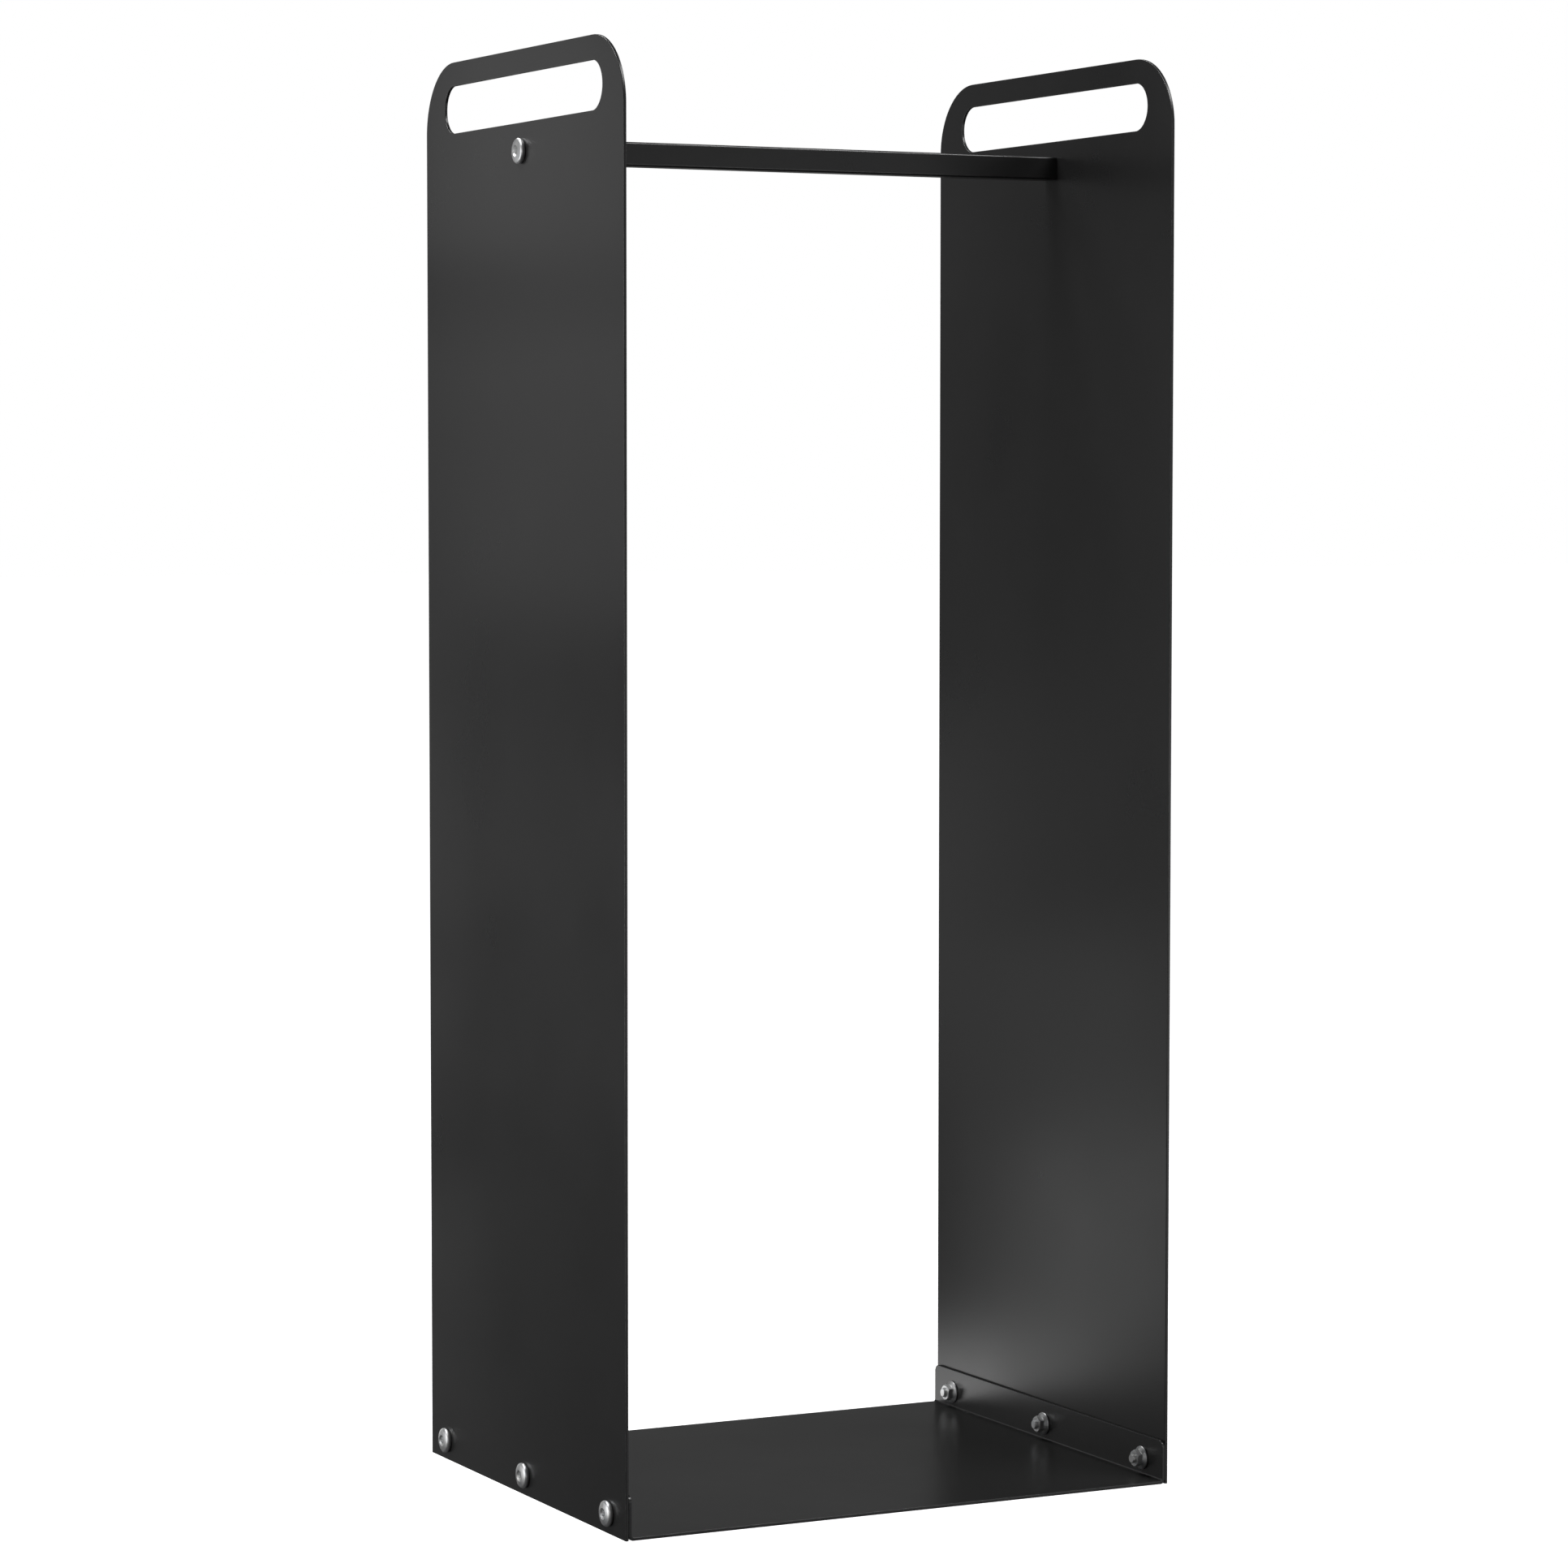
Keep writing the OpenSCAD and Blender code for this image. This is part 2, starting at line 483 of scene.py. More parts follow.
def edge_sheen() -> bpy.types.NodeTree:
    """Where the rounded edges get a painted sheen and a lower roughness, broken up by noise.

    Returns:
        The node group, with one output: the mask for the painted sheen and the lower roughness.
    """
    known = bpy.data.node_groups.get("edge_sheen")
    if known:
        return known
    group = new_group(
        "edge_sheen", {"Patch": 60.0, "Amount": 1.0}, {"Rub": "NodeSocketFloat"}
    )
    bench = NodeBench(group)
    given = group.nodes["Group Input"].outputs
    edge = bench.add("ShaderNodeAttribute", attribute_name=SHEEN_MASK_ATTRIBUTE)
    patches = bench.noise(given["Place"], given["Patch"], detail=3.0, roughness=0.6)
    spread = bench.ramp(patches, low=0.35, high=0.65, to_low=0.35, to_high=1.0)
    patchy_sheen = bench.math("MULTIPLY", spread, given["Amount"])
    rub = bench.math("MULTIPLY", patchy_sheen, edge.outputs["Fac"])
    bench.join(rub, group.nodes["Group Output"].inputs["Rub"])
    return group


@dataclass(frozen=True)
class PowderCoat:
    """Matt black powder coat: fine tooth, faint orange peel, and a painted sheen that makes the
    rounded edges slightly brighter and glossier.
    """

    name: str = "coat_finish"
    dark: tuple[float, float, float] = (0.0180, 0.0180, 0.0182)
    light: tuple[float, float, float] = (0.0215, 0.0215, 0.0218)
    # painted sheen: the rounded edges are coloured lighter in place of the highlights along them
    painted_sheen: tuple[float, float, float] = (0.060, 0.060, 0.061)
    roughness: tuple[float, float] = (0.27, 0.31)
    edge_roughness: float = 0.22
    specular: float = 0.5
    relief: float = 0.004 * MM

    def material(self) -> bpy.types.Material:
        """Builds the coat's material, once."""
        known = bpy.data.materials.get(self.name)
        if known:
            return known
        made = bpy.data.materials.new(self.name)
        made.use_nodes = True
        bench = NodeBench(made.node_tree)
        shader = made.node_tree.nodes["Principled BSDF"]
        place = bench.add("ShaderNodeTexCoord").outputs["Object"]
        grain = bench.add("ShaderNodeGroup", node_tree=surface_grain())
        rub = bench.add("ShaderNodeGroup", node_tree=edge_sheen())
        for group in (grain, rub):
            bench.join(place, group.inputs["Place"])
        body = bench.blend(grain.outputs["Mottle"], self.dark, self.light)
        # the rounded edges take the painted sheen colour
        colour = bench.blend(rub.outputs["Rub"], body, self.painted_sheen)
        gloss = bench.ramp(grain.outputs["Mottle"], 0.0, 1.0, *self.roughness)
        sheen_gloss = bench.add("ShaderNodeMix", data_type="FLOAT")
        bench.join(rub.outputs["Rub"], sheen_gloss.inputs[0])
        bench.join(gloss, sheen_gloss.inputs[2])
        sheen_gloss.inputs[3].default_value = self.edge_roughness
        bump = bench.add("ShaderNodeBump")
        bump.inputs["Strength"].default_value = 1.0
        bump.inputs["Distance"].default_value = self.relief
        bench.join(grain.outputs["Height"], bump.inputs["Height"])
        bench.join(colour, shader.inputs["Base Color"])
        bench.join(sheen_gloss.outputs[0], shader.inputs["Roughness"])
        bench.join(bump.outputs["Normal"], shader.inputs["Normal"])
        shader.inputs["Specular IOR Level"].default_value = self.specular
        return made


@dataclass(frozen=True)
class ZincPlate:
    """Bright zinc plating: a satin metal with a faint cool and warm drift in its colour."""

    name: str = "zinc_finish"
    cool: tuple[float, float, float] = (0.80, 0.82, 0.84)
    warm: tuple[float, float, float] = (0.86, 0.855, 0.84)
    roughness: tuple[float, float] = (0.38, 0.46)
    relief: float = 0.006 * MM
    tooth: float = 4000.0
    wave: float = 900.0
    cloud: float = 160.0

    def material(self) -> bpy.types.Material:
        """Builds the plating's material, once."""
        known = bpy.data.materials.get(self.name)
        if known:
            return known
        made = bpy.data.materials.new(self.name)
        made.use_nodes = True
        bench = NodeBench(made.node_tree)
        shader = made.node_tree.nodes["Principled BSDF"]
        grain = bench.add("ShaderNodeGroup", node_tree=surface_grain())
        bench.join(bench.add("ShaderNodeTexCoord").outputs["Object"], grain.inputs["Place"])
        for label, value in (("Tooth", self.tooth), ("Wave", self.wave), ("Cloud", self.cloud)):
            grain.inputs[label].default_value = value
        mottle = grain.outputs["Mottle"]
        bump = bench.add("ShaderNodeBump")
        bump.inputs["Distance"].default_value = self.relief
        bench.join(grain.outputs["Height"], bump.inputs["Height"])
        bench.join(bench.blend(mottle, self.cool, self.warm), shader.inputs["Base Color"])
        bench.join(bench.ramp(mottle, 0.0, 1.0, *self.roughness), shader.inputs["Roughness"])
        bench.join(bump.outputs["Normal"], shader.inputs["Normal"])
        shader.inputs["Metallic"].default_value = 1.0
        return made


FINISHES = {Slot.COAT: PowderCoat(), Slot.ZINC: ZincPlate()}


def fit_piece(piece: bpy.types.Object, node: str, slot: Slot) -> None:
    """Dresses a finished piece and puts it in place of its CAD node.

    Args:
        piece: The finished object.
        node: The CAD node that it stands for.
        slot: The material slot that it takes its finish from.
    """
    piece.data.materials.clear()
    piece.data.materials.append(FINISHES[slot].material())
    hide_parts(node)
    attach(piece, ROOT_BODY)
    triangles = sum(len(face.vertices) - 2 for face in piece.data.polygons)
    log.info("%s: %d triangles, %s", piece.name, triangles, slot.value)


def centre_of(node: str) -> Vector:
    """The middle of a CAD node's box."""
    low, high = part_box(node)
    return (low + high) / 2


# ---------------------------------------------------------------- sheet metal


@dataclass
class SidePanel:
    """One flat side with rounded top corners, a handle slot and four bolt holes."""

    side: Side
    corner_radius: float = 44 * MM
    slot_margin: float = 30 * MM
    slot_height: float = 30 * MM
    slot_drop: float = 15 * MM
    hole_radius: float = 3.3 * MM
    edge_round: float = 0.4 * MM
    corner_steps: int = 24
    slot_sides: int = 64

    @property
    def node(self) -> str:
        """The CAD node that the panel stands for."""
        return f"{self.side.label}_side_panel"

    def handle_tool(self) -> bpy.types.Object:
        """A long round-ended bar that cuts the handle slot."""
        low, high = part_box(self.node)
        radius = self.slot_height / 2
        centre = Vector(((low.x + high.x) / 2, 0, high.z - self.slot_drop - radius))
        run = high.y - self.slot_margin - radius
        length = high.x - low.x + 2 * OVERRUN
        tool = rod("handle_tool", centre, radius, length, self.slot_sides)
        with editing(tool):
            for way in (-1, 1):
                pick_vertices(tool, lambda co, way=way: way * co.y > WELD)
                bpy.ops.transform.translate(value=(0, way * run, 0))
                bpy.ops.mesh.select_all(action="DESELECT")
        return tool

    def hole_tools(self) -> Iterator[bpy.types.Object]:
        """One drill for each bolt that passes through the panel."""
        low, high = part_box(self.node)
        bolts = [f"{self.side.label}_{row.value}_bolt" for row in Row]
        for bolt in [*bolts, f"{self.side.label}_bar_bolt"]:
            centre = centre_of(bolt)
            centre.x = (low.x + high.x) / 2
            length = high.x - low.x + 2 * OVERRUN
            yield rod("drill", centre, self.hole_radius, length, DRILL_SIDES)

    def build(self) -> bpy.types.Object:
        """Models the panel.

        Returns:
            The finished object.
        """
        low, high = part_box(self.node)
        panel = block(f"{self.node}_sheet", low, high)
        with editing(panel, "EDGE"):
            pick_edges(
                panel,
                lambda a, b: min(a.z, b.z) > high.z - WELD and abs(a.x - b.x) > WELD,
            )
            bpy.ops.mesh.bevel(
                offset=self.corner_radius, segments=self.corner_steps, affect="EDGES"
            )
        combine(panel, self.handle_tool(), "DIFFERENCE")
        for drill in self.hole_tools():
            combine(panel, drill, "DIFFERENCE")
        soften(panel, self.edge_round)
        return panel

    def make(self) -> None:
        """Builds and dresses the panel."""
        fit_piece(self.build(), self.node, Slot.COAT)


@dataclass
class BaseTray:
    """The floor of the rack, with its two ends bent up into drilled flanges."""

    node: str = "base_tray"
    thickness: float = 2 * MM
    bend_radius: float = 1.2 * MM
    corner_radius: float = 4.5 * MM
    hole_radius: float = 3.3 * MM
    edge_round: float = 0.3 * MM
    drill_length: float = 8 * MM
    bend_steps: int = 8
    corner_steps: int = 8

    def build(self) -> bpy.types.Object:
        """Models the tray.

        Returns:
            The finished object.
        """
        low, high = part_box(self.node)
        size = high - low
        deselect_all()
        bpy.ops.mesh.primitive_plane_add(size=1.0, location=(0, 0, low.z))
        bpy.context.view_layer.objects.active.scale = (size.x, size.y, 1)
        tray = named(f"{self.node}_sheet")
        with editing(tray, "EDGE"):
            pick_edges(tray, lambda a, b: abs(a.x - b.x) < WELD)
            bpy.ops.mesh.extrude_edges_move(TRANSFORM_OT_translate={"value": (0, 0, size.z)})
            bpy.ops.mesh.select_all(action="DESELECT")
            pick_edges(
                tray,
                lambda a, b: max(a.z, b.z) < low.z + WELD and abs(a.x - b.x) < WELD,
            )
            bpy.ops.mesh.bevel(
                offset=self.bend_radius + self.thickness, segments=self.bend_steps, affect="EDGES"
            )
        with editing(tray):
            pick_vertices(tray, lambda co: co.z > high.z - WELD)
            bpy.ops.mesh.bevel(
                offset=self.corner_radius, segments=self.corner_steps, affect="VERTICES"
            )
            bpy.ops.mesh.select_all(action="SELECT")
            bpy.ops.mesh.normals_make_consistent(inside=False)
        modify(tray, "SOLIDIFY", thickness=self.thickness, offset=-1.0, use_even_offset=True)
        tidy_mesh(tray)
        for side in Side:
            for row in Row:
                centre = centre_of(f"{side.label}_{row.value}_bolt")
                centre.x = side.value * (high.x - self.thickness / 2)
                drill = rod("drill", centre, self.hole_radius, self.drill_length, DRILL_SIDES)
                combine(tray, drill, "DIFFERENCE")
        soften(tray, self.edge_round)
        return tray

    def make(self) -> None:
        """Builds and dresses the tray."""
        fit_piece(self.build(), self.node, Slot.COAT)


# ---------------------------------------------------------------- crossbar


@dataclass
class Crossbar:
    """The square tube between the sides and the threaded insert in each of its ends."""

    node: str = "crossbar_tube"
    wall: float = 1.2 * MM
    edge_radius: float = 1.5 * MM
    insert_edge_radius: float = 0.8 * MM
    rim_round: float = 0.15 * MM
    end_facing: float = 0.5  # a face whose normal leans further than this along X is an end
    edge_steps: int = 6
    insert_edge_steps: int = 4
    rim_steps: int = 2

    def build_tube(self) -> bpy.types.Object:
        """Models the tube as a bent-round strip of constant wall, open at both ends.

        Returns:
            The finished object.
        """
        low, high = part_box(self.node)
        tube = block(f"{self.node}_steel", low, high)
        with editing(tube, "FACE"):
            pick_faces(tube, lambda normal: abs(normal.x) > self.end_facing)
            bpy.ops.mesh.delete(type="ONLY_FACE")
        with editing(tube, "EDGE"):
            pick_edges(tube, lambda a, b: abs(a.x - b.x) > WELD)
            bpy.ops.mesh.bevel(
                offset=self.edge_radius, segments=self.edge_steps, affect="EDGES"
            )
        modify(tube, "SOLIDIFY", thickness=self.wall, offset=-1.0, use_even_offset=True)
        tidy_mesh(tube)
        soften(tube, self.rim_round, self.rim_steps)
        return tube

    def build_insert(self, side: Side, form: "BoltForm") -> bpy.types.Object:
        """Models a threaded insert.

        Args:
            side: Which end of the tube it fills.
            form: The bolt that screws into it.

        Returns:
            The finished object.
        """
        node = f"{side.label}_bar_insert"
        low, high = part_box(node)
        length, width, height = high - low
        insert = block(
            f"{node}_steel", Vector((-height / 2, -width / 2, -length)),
            Vector((height / 2, width / 2, 0)),
        )
        with editing(insert, "EDGE"):
            pick_edges(insert, lambda a, b: abs(a.z - b.z) > WELD)
            bpy.ops.mesh.bevel(
                offset=self.insert_edge_radius, segments=self.insert_edge_steps, affect="EDGES"
            )
        combine(insert, form.tap(length), "DIFFERENCE")
        tidy_mesh(insert)
        smooth_by_angle(insert)
        mouth = Vector((side.value * max(abs(low.x), abs(high.x)), 0, (low.z + high.z) / 2))
        put_on_axis(insert, mouth, side.value)
        return insert

    def make(self, form: "BoltForm") -> None:
        """Builds and dresses the tube and its inserts."""
        fit_piece(self.build_tube(), self.node, Slot.COAT)
        for side in Side:
            fit_piece(self.build_insert(side, form), f"{side.label}_bar_insert", Slot.ZINC)


# ---------------------------------------------------------------- bolts and nuts


def smooth_by_angle(piece: bpy.types.Object, degrees: float = 30) -> None:
    """Shades a piece smooth, with creases where faces meet at more than an angle."""
    take(piece)
    bpy.ops.object.shade_smooth_by_angle(angle=math.radians(degrees))


def put_on_axis(piece: bpy.types.Object, place: Vector, way: int) -> None:
    """Lays a piece that was made upright along X, and settles it there.

    Args:
        piece: An object whose own axis is Z and whose base is at the origin.
        place: Where its base goes.
        way: 1 to point it along +X, -1 along -X.
    """
    turn = Euler((0, way * math.pi / 2, 0)).to_matrix().to_4x4()
    piece.data.transform(Matrix.Translation(place) @ turn)
    piece.data.update()


def copy_of(piece: bpy.types.Object, name: str) -> bpy.types.Object:
    """A copy of a piece with a mesh of its own."""
    twin = piece.copy()
    twin.data = piece.data.copy()
    twin.name = name
    twin.data.name = name
    bpy.context.scene.collection.objects.link(twin)
    return twin


@dataclass
class BoltForm:
    """A mushroom-head bolt, upright: its head above Z = 0 and its threaded shank below."""

    head_radius: float
    head_height: float = 4.2 * MM
    rim_height: float = 1.5 * MM
    rim_radius: float = 1.8 * MM
    socket_across: float = 5 * MM
    socket_depth: float = 2.6 * MM
    mouth_radius: float = 3.6 * MM
    thread_radius: float = 3 * MM
    pitch: float = 1 * MM
    thread_depth: float = 0.54 * MM
    tip_chamfer: float = 0.4 * MM
    thread_gap: float = 0.05 * MM
    shank_overlap: float = 0.5 * MM
    root_end: float = 0.25  # where the flank starts, as a share of a pitch
    crest_start: float = 0.5625
    crest_end: float = 0.6875
    thread_steps: int = 32
    rim_steps: int = 14
    crown_steps: int = 10

    @property
    def crown_radius(self) -> float:
        """Radius of the crown that runs smoothly into the rim."""
        across = self.head_radius - self.rim_radius
        rise = self.head_height - self.rim_height
        return (across**2 + rise**2 - self.rim_radius**2) / (2 * (rise - self.rim_radius))

    def head_points(self) -> list[tuple[float, float]]:
        """The head's half outline, from the axis on its underside to the axis on its crown."""
        across = self.head_radius - self.rim_radius
        crown = self.crown_radius
        crown_z = self.head_height - crown
        meet = math.atan2(self.rim_height - crown_z, across)
        under = -math.asin(min(1.0, self.rim_height / self.rim_radius))
        rim = arc((across, self.rim_height), self.rim_radius, under, meet, self.rim_steps)
        top = arc((0.0, crown_z), crown, meet, math.pi / 2, self.crown_steps)
        return [(0.0, 0.0), *rim, *top[1:]]

    def thread(self, low: float, high: float, grow: float = 0.0) -> bpy.types.Object:
        """Models a length of screw thread as a closed solid on the Z axis.

        Args:
            low: A height that its full section reaches down to.
            high: A height that its full section reaches up to.
            grow: How much wider than the bolt's own thread it is, in radius.

        Returns:
            The new object.
        """
        crest = self.thread_radius + grow
        root = crest - self.thread_depth
        # one turn to spare below and one above, so that the full section covers low to high
        turns = math.ceil((high - low) / self.pitch) + 2
        base = (math.floor(low / self.pitch) - 1) * self.pitch
        shape = (
            (0.0, root), (self.root_end, root), (self.crest_start, crest),
            (self.crest_end, crest), (1.0, root),
        )
        rib = outline("thread", [(r, base + share * self.pitch) for share, r in shape])
        modify(
            rib, "SCREW", angle=2 * math.pi, screw_offset=self.pitch, iterations=turns,
            steps=self.thread_steps, render_steps=self.thread_steps,
            use_merge_vertices=True, merge_threshold=WELD,
        )
        tidy_mesh(rib)
        with editing(rib):
            bpy.ops.mesh.select_all(action="SELECT")
            bpy.ops.mesh.fill_holes(sides=0)
            bpy.ops.mesh.select_face_by_sides(number=4, type="GREATER", extend=False)
            bpy.ops.mesh.poke()
        tidy_mesh(rib)
        return rib

    def tap(self, depth: float) -> bpy.types.Object:
        """Models a tool that cuts this bolt's thread, with a chamfer at both ends of the hole.

        Args:
            depth: How far the hole reaches down from Z = 0.

        Returns:
            The tool.
        """
        tool = self.thread(-depth - OVERRUN, OVERRUN, grow=self.thread_gap)
        lead = self.thread_radius + self.thread_gap + self.tip_chamfer
        for way, height in ((1, 0.0), (-1, -depth)):
            cone = turned(
                "countersink",
                [(0.0, height - way * lead), (lead + OVERRUN, height + way * OVERRUN),
                 (0.0, height + way * OVERRUN)],
            )
            combine(tool, cone, "UNION")
            tidy_mesh(tool)
        return tool

    def build(self, length: float) -> bpy.types.Object:
        """Models the bolt.

        Args:
            length: From the underside of the head to the tip.

        Returns:
            The finished object.
        """
        bolt = turned("bolt", self.head_points(), ROUND_STEPS)
        reach = self.mouth_radius + OVERRUN
        drop = self.mouth_radius - self.socket_across / 2
        top = self.crown_radius - math.sqrt(self.crown_radius**2 - self.mouth_radius**2)
        mouth_z = self.head_height - top
        mouth = turned(
            "socket_mouth",
            [(0.0, mouth_z - drop), (self.socket_across / 2, mouth_z - drop),
             (reach, mouth_z + OVERRUN), (0.0, mouth_z + OVERRUN)],
        )
        combine(bolt, mouth, "DIFFERENCE")
        deselect_all()
        bpy.ops.mesh.primitive_cylinder_add(
            vertices=6, radius=self.socket_across / 2 / math.cos(HEXAGON_TURN),
            depth=self.socket_depth + OVERRUN,
            location=(0, 0, self.head_height + (OVERRUN - self.socket_depth) / 2),
            rotation=(0, 0, HEXAGON_TURN),
        )
        combine(bolt, named("socket"), "DIFFERENCE")
        shank = self.thread(-length, self.shank_overlap)
        radius = self.thread_radius
        chamfer = self.tip_chamfer
        wide = radius + OVERRUN
        blank = turned(
            "blank",
            [(0.0, -length), (radius - chamfer, -length), (radius, chamfer - length),
             (wide, chamfer - length + OVERRUN), (wide, OVERRUN), (0.0, OVERRUN)],
        )
        combine(shank, blank, "INTERSECT")
        combine(bolt, shank, "UNION")
        tidy_mesh(bolt)
        smooth_by_angle(bolt)
        return bolt


@dataclass
class FlangeNut:
    """A hexagon nut on a conical flange, upright with its flange on Z = 0."""

    flange_radius: float
    height: float
    across: float = 10 * MM
    rim: float = 1.2 * MM
    cone_rise: float = 1.3 * MM
    cone_top: float = 5.4 * MM
    crown: float = 0.7 * MM
    crown_slope: float = 1.4  # how far the crown's chamfer runs in for each part that it falls
    hexagon_base: float = 0.2 * MM
    corner_round: float = 0.25 * MM
    corner_steps: int = 3
    rim_steps: int = 10
    rim_end: float = math.pi / 3  # the angle at which the rounded rim meets the cone

    def hexagon(self) -> bpy.types.Object:
        """The hexagon with softened corners, cut back to a cone at its top."""
        corner = self.across / 2 / math.cos(HEXAGON_TURN)
        deselect_all()
        bpy.ops.mesh.primitive_cylinder_add(
            vertices=6, radius=corner, depth=self.height - self.hexagon_base,
            location=(0, 0, (self.height + self.hexagon_base) / 2), rotation=(0, 0, HEXAGON_TURN),
        )
        hexagon = named("hexagon")
        with editing(hexagon, "EDGE"):
            pick_edges(hexagon, lambda a, b: abs(a.z - b.z) > WELD)
            bpy.ops.mesh.bevel(
                offset=self.corner_round, segments=self.corner_steps, affect="EDGES"
            )
        cone = turned(
            "chamfer",
            [(0.0, 0.0), (corner, 0.0), (corner, self.height - self.crown),
             (corner - self.crown_slope * self.crown, self.height + WELD),
             (0.0, self.height + WELD)],
        )
        combine(hexagon, cone, "INTERSECT")
        return hexagon

    def flange_points(self) -> list[tuple[float, float]]:
        """The flange's half outline, with its rim rounded."""
        half = self.rim / 2
        centre = (self.flange_radius - half, half)
        rim = arc(centre, half, -math.pi / 2, self.rim_end, self.rim_steps)
        top = self.rim + self.cone_rise
        return [(0.0, 0.0), *rim, (self.cone_top, top), (0.0, top)]

    def build(self, form: BoltForm) -> bpy.types.Object:
        """Models the nut.

        Args:
            form: The bolt that it fits.

        Returns:
            The finished object.
        """
        nut = turned("nut", self.flange_points(), ROUND_STEPS)
        combine(nut, self.hexagon(), "UNION")
        tool = form.tap(self.height)
        tool.data.transform(Matrix.Translation((0, 0, self.height)))
        combine(nut, tool, "DIFFERENCE")
        tidy_mesh(nut)
        smooth_by_angle(nut)
        return nut


@dataclass
class Fasteners:
    """Every bolt and nut of the rack, each shape modelled once and copied."""

    form: BoltForm

    @classmethod
    def from_frame(cls) -> "Fasteners":
        """Takes the head's size from the CAD bolts."""
        low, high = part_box("left_middle_bolt")
        return cls(BoltForm(head_radius=(high.y - low.y) / 2))

    def length(self, node: str) -> float:
        """A bolt's length under its head, from the CAD."""
        low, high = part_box(node)
        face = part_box("right_side_panel")[1].x
        return face - min(abs(low.x), abs(high.x))

    def make(self) -> None:
        """Builds and dresses the bolts and nuts."""
        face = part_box("right_side_panel")[1].x
        tray_bolt = self.form.build(self.length("left_middle_bolt"))
        bar_bolt = self.form.build(self.length("left_bar_bolt"))
        low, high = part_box("right_middle_nut")
        nut = FlangeNut((high.y - low.y) / 2, high.x - low.x).build(self.form)
        for side in Side:
            jobs = [(f"{side.label}_{row.value}_bolt", tray_bolt) for row in Row]
            for node, model in [*jobs, (f"{side.label}_bar_bolt", bar_bolt)]:
                bolt = copy_of(model, f"{node}_zinc")
                place = centre_of(node)
                place.x = side.value * face
                put_on_axis(bolt, place, side.value)
                fit_piece(bolt, node, Slot.ZINC)
            for row in Row:
                node = f"{side.label}_{row.value}_nut"
                twin = copy_of(nut, f"{node}_zinc")
                place = centre_of(node)
                place.x = side.value * high.x
                put_on_axis(twin, place, -side.value)
                fit_piece(twin, node, Slot.ZINC)
        for model in (tray_bolt, bar_bolt, nut):
            bpy.data.objects.remove(model)


# ---------------------------------------------------------------- studio


@dataclass(frozen=True)
class Softbox:
    """One square studio light that doesn't show itself to the camera."""

    name: str
    place: tuple[float, float, float]
    aim: tuple[float, float, float]
    size: float
    radiance: float

    def make(self) -> None:
        """Hangs the light."""
        lamp = bpy.data.lights.new(self.name, "AREA")
        lamp.shape = "SQUARE"
        lamp.size = self.size
        lamp.energy = math.pi * self.size**2 * self.radiance
        holder = bpy.data.objects.new(self.name, lamp)
        bpy.context.scene.collection.objects.link(holder)
        holder.location = self.place
        way = Vector(self.aim) - Vector(self.place)
        holder.rotation_euler = way.to_track_quat("-Z", "Y").to_euler()
        holder.visible_camera = False


SOFTBOXES = (
    Softbox("low_panel_a", (-0.05, 0.55, -0.12), (-0.02, 0.0, -0.12), 0.16, 2.2),
    Softbox("low_panel_b", (-0.20, 0.55, 0.04), (-0.06, 0.0, 0.04), 0.16, 1.12),
    Softbox("low_panel_c", (-0.20, 0.55, 0.20), (-0.06, 0.0, 0.20), 0.16, 0.44),
    Softbox("low_panel_d", (-0.35, 0.55, -0.12), (-0.10, 0.0, -0.12), 0.16, 0.11),
    Softbox("high_panel_a", (-0.45, 0.55, 0.90), (-0.14, 0.0, 0.90), 0.20, 0.37),
    Softbox("high_panel_b", (-0.15, 0.90, 0.65), (-0.05, 0.0, 0.65), 0.25, 0.09),
    Softbox("high_panel_c", (-0.15, 0.90, 0.90), (-0.05, 0.0, 0.90), 0.25, 0.13),
    Softbox("high_panel_d", (-0.40, 0.90, 0.40), (-0.12, 0.0, 0.40), 0.25, 0.154),
    Softbox("high_panel_e", (-0.65, 0.90, 0.65), (-0.20, 0.0, 0.65), 0.25, 0.426),
    Softbox("high_panel_f", (-0.60, 0.60, 0.90), (-0.19, 0.0, 0.80), 0.40, 0.138),
    Softbox("back_low", (-0.40, 1.60, 0.20), (0.19, 0.0, 0.20), 0.40, 0.37),
    Softbox("back_right", (0.80, 1.60, 0.60), (0.0, 0.0, 0.45), 0.80, 0.099),
    Softbox("back_above", (-0.30, 1.00, 2.20), (0.10, 0.0, 0.20), 0.60, 11.0),
    Softbox("left_low", (-1.60, 1.60, 0.20), (0.19, 0.0, 0.20), 0.40, 1.32),
    Softbox("left_floor", (-1.80, 0.60, 0.05), (-0.19, 0.0, 0.05), 0.50, 5.4),
    Softbox("left_key", (-2.20, 0.15, 0.75), (-0.19, 0.0, 0.40), 0.90, 2.87),
    Softbox("left_above", (-1.10, 0.20, 2.20), (-0.19, 0.0, 0.40), 0.60, 14.0),
    Softbox("front_left", (-1.90, -1.60, 0.50), (0.0, 0.0, 0.20), 0.80, 1.6),
    Softbox("front_right", (1.48, -2.56, 0.97), (0.0, 0.0, 0.45), 1.30, 0.25),
    Softbox("right_key", (2.20, 0.30, 0.90), (0.19, 0.0, 0.40), 0.90, 1.6),
    Softbox("front_low", (1.48, -2.60, 0.00), (0.0, 0.0, 0.30), 1.30, 0.90),
    Softbox("front_inner", (0.45, -0.95, 0.30), (-0.19, 0.0, 0.30), 0.40, 0.80),
    Softbox("key_above", (0.85, -1.05, 2.20), (0.0, 0.0, 0.60), 0.80, 10.0),
)


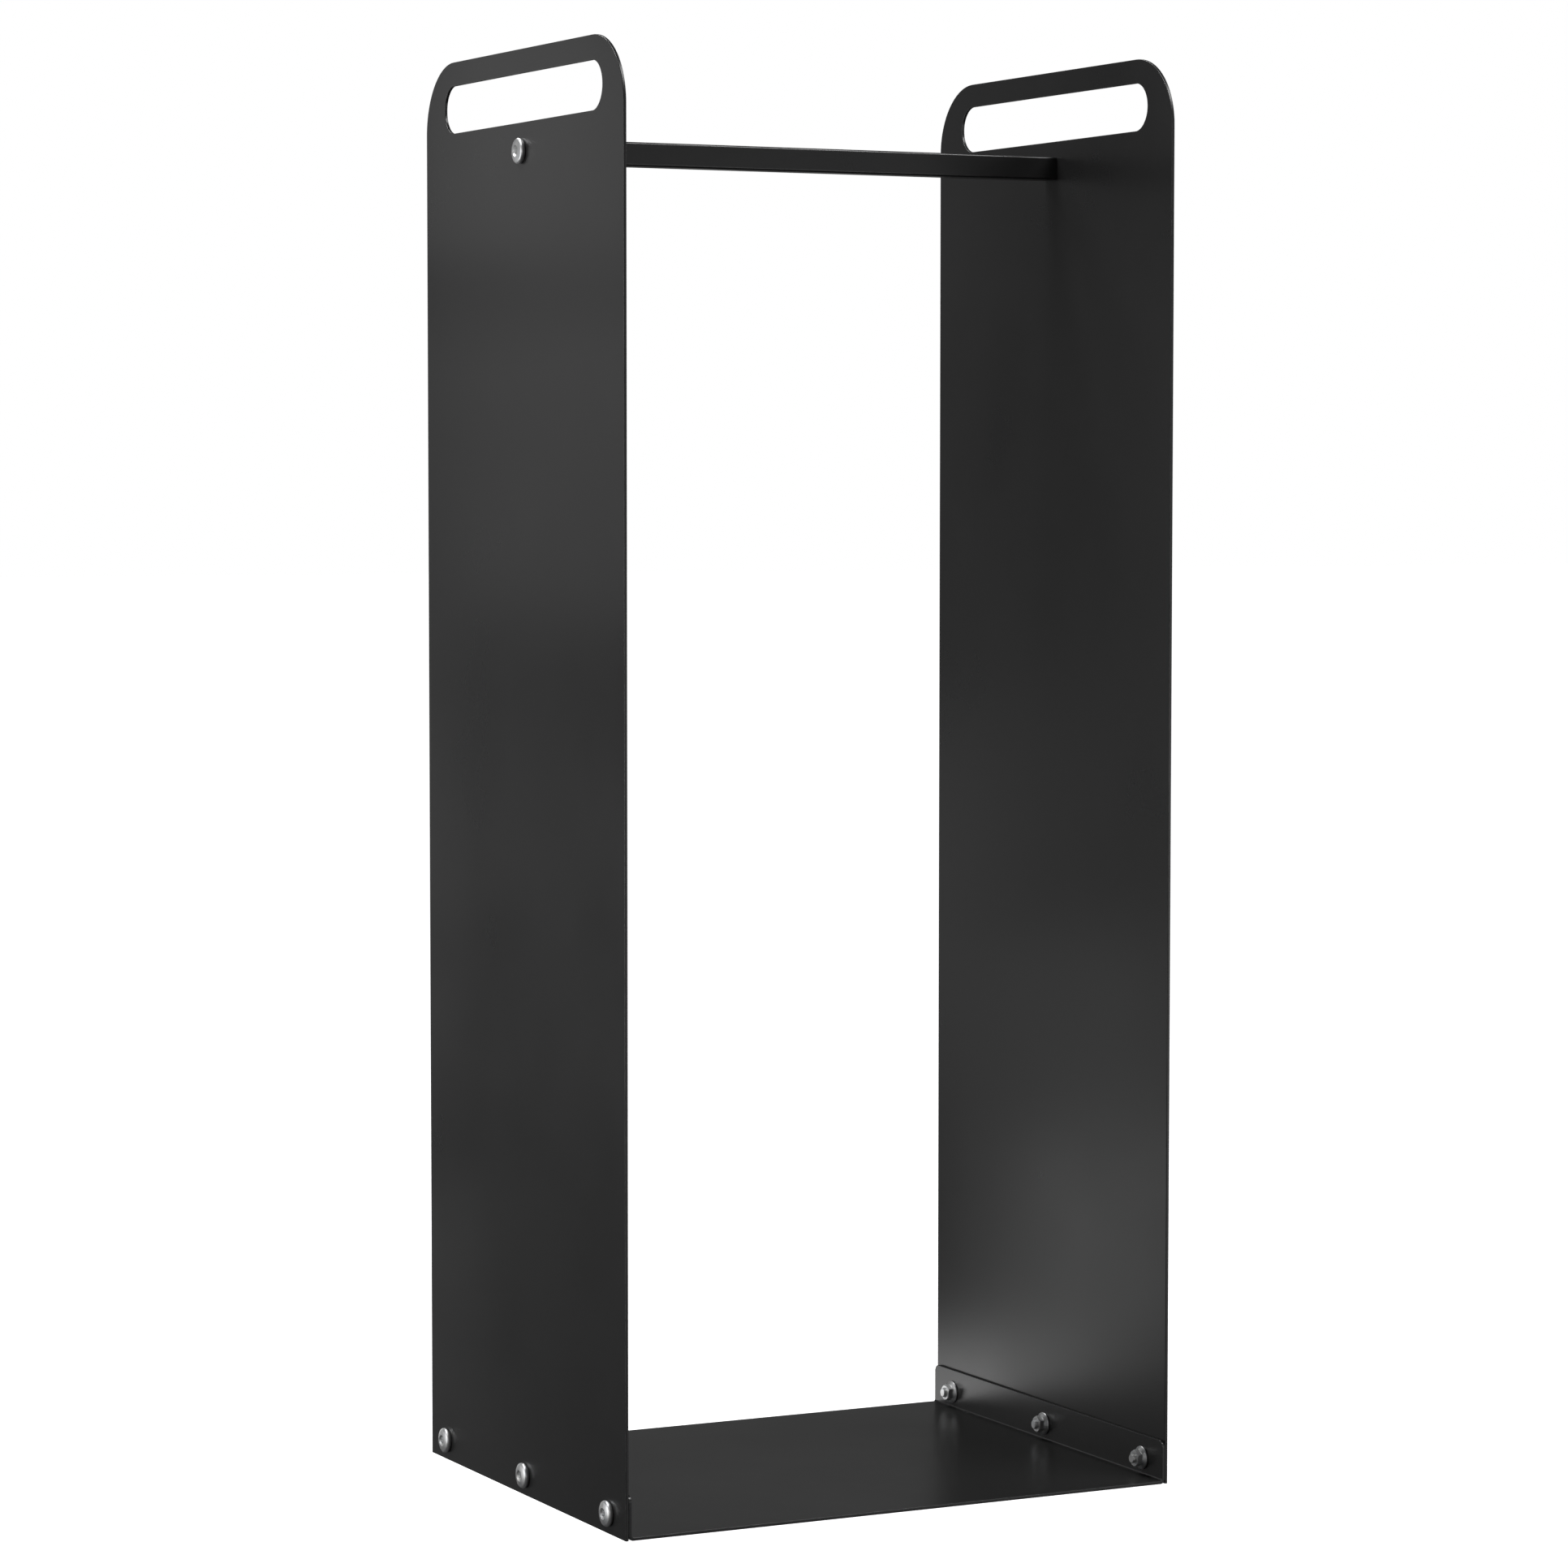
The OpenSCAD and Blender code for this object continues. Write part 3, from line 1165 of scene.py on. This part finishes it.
@dataclass
class Studio:
    """The pale floor, the white surroundings, the soft light and the camera."""

    camera_place: tuple[float, float, float] = (-1.39181, -2.73022, 0.63002)
    camera_yaw: float = -26.4986
    camera_pitch: float = -3.5705
    lens: float = 110.325
    sensor: float = 36.0
    shift: tuple[float, float] = (0.0208, 0.0027)
    floor_size: float = 60.0
    fill: float = 0.05
    white: float = 1.0
    floor_tone: float = 0.9
    floor_roughness: float = 0.9
    softboxes: Sequence[Softbox] = SOFTBOXES

    def make_camera(self) -> None:
        """Sets the camera up at the rack's front left."""
        lens = bpy.data.cameras.new("camera")
        lens.sensor_width = self.sensor
        lens.lens = self.lens
        lens.shift_x, lens.shift_y = self.shift
        camera = bpy.data.objects.new("camera", lens)
        bpy.context.scene.collection.objects.link(camera)
        camera.location = self.camera_place
        camera.rotation_euler = (
            math.radians(90 + self.camera_pitch), 0, math.radians(self.camera_yaw)
        )
        bpy.context.scene.camera = camera

    def make_floor(self) -> None:
        """Lays the pale floor, bright enough to read as white."""
        deselect_all()
        bpy.ops.mesh.primitive_plane_add(size=self.floor_size)
        floor = named("floor")
        paint = bpy.data.materials.new("floor_paint")
        paint.use_nodes = True
        shader = paint.node_tree.nodes["Principled BSDF"]
        shader.inputs["Base Color"].default_value = (*[self.floor_tone] * 3, 1)
        shader.inputs["Roughness"].default_value = self.floor_roughness
        shader.inputs["Emission Color"].default_value = (1, 1, 1, 1)
        shader.inputs["Emission Strength"].default_value = self.white
        floor.data.materials.append(paint)
        floor.visible_glossy = False
        floor.visible_diffuse = False
        floor.visible_shadow = False

    def make_surroundings(self) -> None:
        """Surrounds the rack with a weak even fill, which the camera sees as white."""
        world = bpy.data.worlds.new("studio")
        world.use_nodes = True
        bpy.context.scene.world = world
        bench = NodeBench(world.node_tree)
        background = world.node_tree.nodes["Background"]
        background.inputs["Color"].default_value = (1, 1, 1, 1)
        seen = bench.add("ShaderNodeLightPath").outputs["Is Camera Ray"]
        strength = bench.ramp(seen, 0.0, 1.0, self.fill, self.white)
        bench.join(strength, background.inputs["Strength"])
        bpy.context.scene.view_settings.view_transform = "Standard"

    def make(self) -> None:
        """Sets up the whole studio."""
        self.make_floor()
        self.make_surroundings()
        for softbox in self.softboxes:
            softbox.make()


def main() -> None:
    """Builds the rack piece by piece, then the studio round it."""
    studio = Studio()
    studio.make_camera()
    fasteners = Fasteners.from_frame()
    for side in Side:
        SidePanel(side).make()
    BaseTray().make()
    Crossbar().make(fasteners.form)
    fasteners.make()
    studio.make()


if __name__ == "__main__":
    main()
